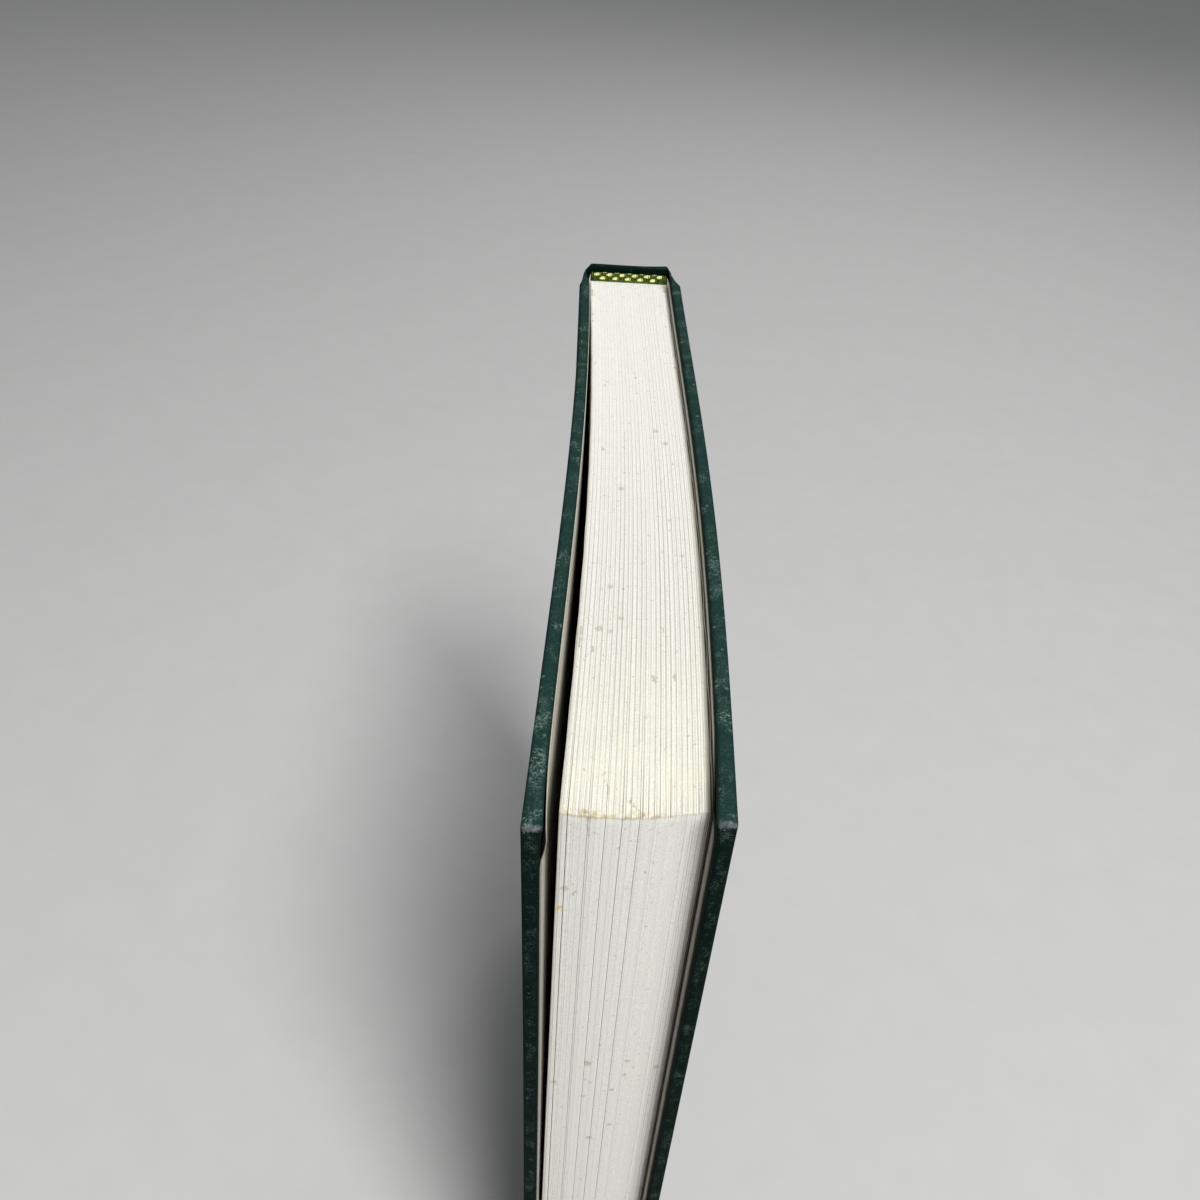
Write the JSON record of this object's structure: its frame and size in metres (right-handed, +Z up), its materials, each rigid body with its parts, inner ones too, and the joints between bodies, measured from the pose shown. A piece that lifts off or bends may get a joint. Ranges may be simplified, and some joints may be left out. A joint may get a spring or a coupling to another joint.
{
  "type": "hardcover book",
  "caption": "Flat-backed hardcover book standing on its tail, with cloth boards, stitched headbands and a sewn text block; both covers open.",
  "frame": {"origin": "centre of the book's footprint, on the surface that the tail edges of the covers and spine stand on", "axes": "+Z up from tail to head, +Y towards the spine with the fore edge at -Y, -X towards the front cover"},
  "size_m": [0.0272, 0.166, 0.24],
  "materials": {
    "page_paper": "matte",
    "endpaper": "matte",
    "thread": "matte",
    "headband_weave": "satin",
    "mull_gauze": "matte",
    "lining_paper": "matte",
    "inlay_card": "matte",
    "grey_board": "matte",
    "green_cloth": "satin"
  },
  "bodies": {
    "text_block": {"page_block": "page_paper", "front_flyleaf": "endpaper", "back_flyleaf": "endpaper", "sewing_thread": "thread", "headband": "headband_weave", "tailband": "headband_weave", "spine_mull": "mull_gauze", "spine_lining": "lining_paper", "spine_inlay": "inlay_card", "spine_cloth": "green_cloth"},
    "front_cover": {"front_board": "grey_board", "front_cover_cloth": "green_cloth", "front_pastedown": "endpaper", "front_mull_flange": "mull_gauze"},
    "back_cover": {"back_board": "grey_board", "back_cover_cloth": "green_cloth", "back_pastedown": "endpaper", "back_mull_flange": "mull_gauze"}
  },
  "joints": [
    {"name": "front_cover_hinge", "type": "hinge", "parent": "text_block", "child": "front_cover", "pos_m": [-0.00943, 0.07835, 0.12], "axis": [0, 0, -1], "range_deg": [0, 165]},
    {"name": "back_cover_hinge", "type": "hinge", "parent": "text_block", "child": "back_cover", "pos_m": [0.00977, 0.07835, 0.12], "axis": [0, 0, 1], "range_deg": [0, 165]}
  ]
}
